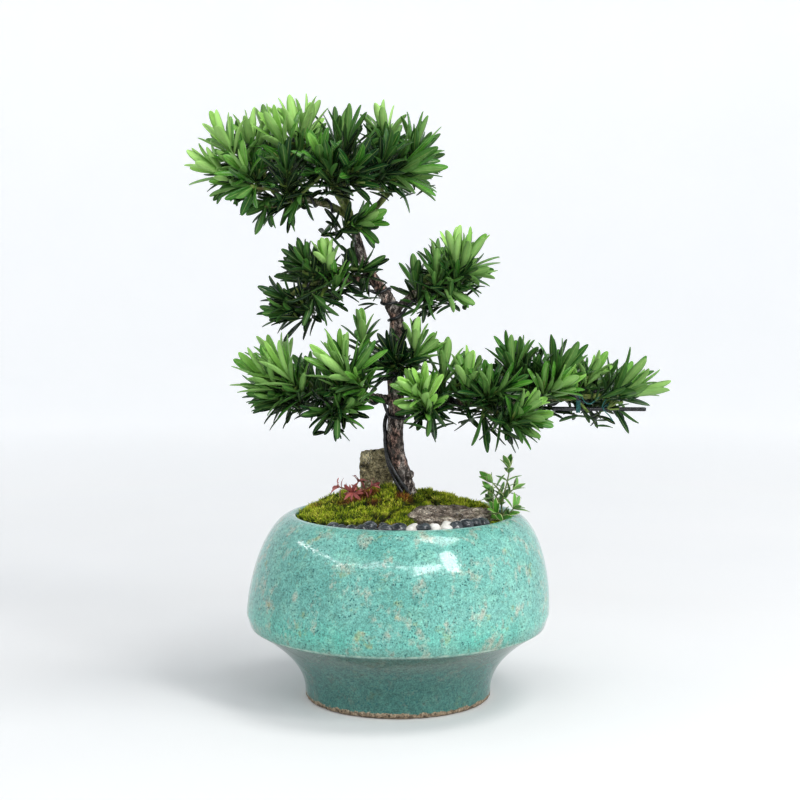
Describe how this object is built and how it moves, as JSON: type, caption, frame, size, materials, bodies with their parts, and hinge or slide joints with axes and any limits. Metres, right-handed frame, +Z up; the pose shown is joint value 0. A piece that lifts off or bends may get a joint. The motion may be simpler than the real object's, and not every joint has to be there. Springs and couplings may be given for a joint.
{
  "type": "buddhist pine bonsai",
  "caption": "Wired Buddhist pine bonsai with a tiered crown and a long right branch, in a squat round turquoise-glazed pot with moss, rocks and pebbles.",
  "frame": {"origin": "middle of the footprint of the whole tree and pot, on the surface that the pot's foot ring stands on", "axes": "+Z up, -Y towards the viewer of the tree's front, +X to the viewer's right along the long branch"},
  "size_m": [0.3584, 0.224, 0.4465],
  "materials": {
    "glaze": "glossy turquoise glaze with dark teal specks, cream blotches and fine crackle",
    "plastic": "black drain mesh",
    "soil": "damp crumbly dark soil",
    "moss": "soft yellow-green moss",
    "grey_stone": "rough grey-brown rock",
    "slate": "flat layered brown-grey rock",
    "dark_pebble": "smooth near-black pebble",
    "white_pebble": "smooth white pebble",
    "bark": "rough flaking reddish-brown bark",
    "wire": "black anodised training wire",
    "leaf_dark": "glossy dark green leaf",
    "leaf_mid": "glossy mid green leaf",
    "leaf_light": "satin light yellow-green young leaf",
    "red_leaf": "dusky red succulent leaf",
    "cream_leaf": "green leaf with cream margin"
  },
  "bodies": {
    "root": {"brace_rod": "wire", "dark_pebbles": "dark_pebble", "drain_mesh": "plastic", "flat_stone": "slate", "moss_left": "moss", "moss_right": "moss", "pot": "glaze", "red_plant": "red_leaf", "soil": "soil", "spray_crown_back_top": "leaf_mid", "spray_crown_far_left": "leaf_mid", "spray_crown_front_left": "leaf_dark", "spray_crown_front_right": "leaf_dark", "spray_crown_front_top": "leaf_dark", "spray_crown_left_top": "leaf_light", "spray_crown_left_under": "leaf_dark", "spray_crown_right_side": "leaf_mid", "spray_crown_right_top": "leaf_mid", "spray_crown_top": "leaf_light", "spray_crown_top_right": "leaf_dark", "spray_crown_under": "leaf_mid", "spray_front_fork": "leaf_light", "spray_front_inner": "leaf_dark", "spray_long_back_top": "leaf_mid", "spray_long_inner": "leaf_light", "spray_long_mid": "leaf_mid", "spray_long_outer": "leaf_mid", "spray_long_tip": "leaf_mid", "spray_long_top": "leaf_dark", "spray_long_top_inner": "leaf_light", "spray_low_back_top": "leaf_mid", "spray_low_far_left": "leaf_mid", "spray_low_front_left": "leaf_light", "spray_low_left_top": "leaf_light", "spray_low_left_under": "leaf_dark", "spray_outer_back_top": "leaf_mid", "spray_tier_back_top": "leaf_dark", "spray_tier_far_left": "leaf_dark", "spray_tier_left_top": "leaf_dark", "spray_tier_top": "leaf_mid", "spray_tier_under": "leaf_dark", "spray_trunk_front": "leaf_light", "spray_trunk_left": "leaf_mid", "spray_upper_back": "leaf_dark", "spray_upper_tip": "leaf_light", "spray_upper_top": "leaf_mid", "spray_upper_under": "leaf_dark", "standing_stone": "grey_stone", "trunk": "bark", "variegated_plant": "cream_leaf", "white_pebble_1": "white_pebble", "white_pebble_2": "white_pebble", "white_pebble_3": "white_pebble", "wire_crown": "wire", "wire_long": "wire", "wire_low_left": "wire", "wire_tier": "wire", "wire_trunk": "wire", "wire_upper": "wire"}
  },
  "joints": []
}
